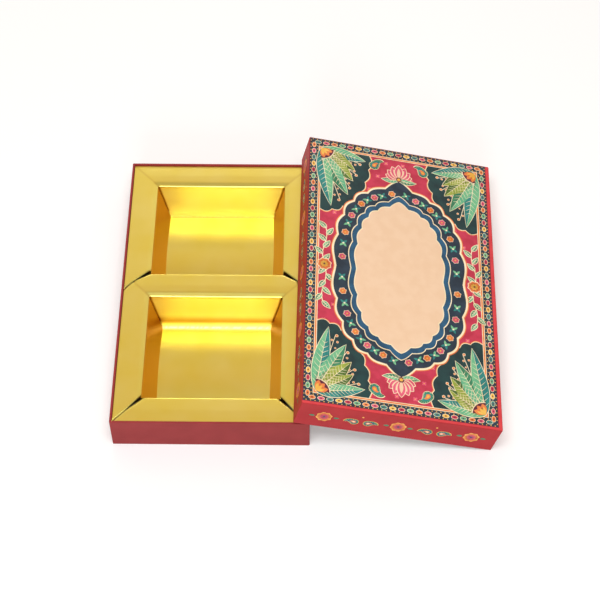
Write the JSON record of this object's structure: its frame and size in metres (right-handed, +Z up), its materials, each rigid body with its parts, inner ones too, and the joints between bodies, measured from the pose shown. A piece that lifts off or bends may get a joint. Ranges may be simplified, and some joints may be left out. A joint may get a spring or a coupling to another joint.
{
  "type": "two-piece sweet box",
  "caption": "Rectangular telescoping card box for sweets: open base with two tapered gold card trays, lid leaning on its long side.",
  "frame": {"origin": "middle of the base's flat underside, on the surface that it stands on", "axes": "+Z up, +X to the right towards the leaning lid (the longest way over both halves is along X at rest), +Y to the rear along the base's long side"},
  "size_m": [0.294, 0.2562, 0.0617],
  "materials": {
    "greyboard": "matte",
    "stay_paper": "matte",
    "art_paper": "satin",
    "lining_paper": "matte",
    "gold_card": "polished"
  },
  "bodies": {
    "base": {"base_board": "greyboard", "base_stay_1": "stay_paper", "base_stay_2": "stay_paper", "base_stay_3": "stay_paper", "base_stay_4": "stay_paper", "base_wrap": "art_paper", "base_lining": "lining_paper"},
    "trays": {"front_tray": "gold_card", "rear_tray": "gold_card"},
    "lid": {"lid_board": "greyboard", "lid_stay_1": "stay_paper", "lid_stay_2": "stay_paper", "lid_stay_3": "stay_paper", "lid_stay_4": "stay_paper", "lid_wrap": "art_paper", "lid_lining": "lining_paper"}
  },
  "joints": [
    {"name": "lid_lift", "type": "slide", "parent": "base", "child": "lid", "axis": [0, 0, 1], "range_m": [0, 0.15]},
    {"name": "tray_tip", "type": "hinge", "parent": "base", "child": "trays", "pos_m": [0.072, 0, 0.0295], "axis": [0, 1, 0], "range_deg": [0, 12]}
  ]
}
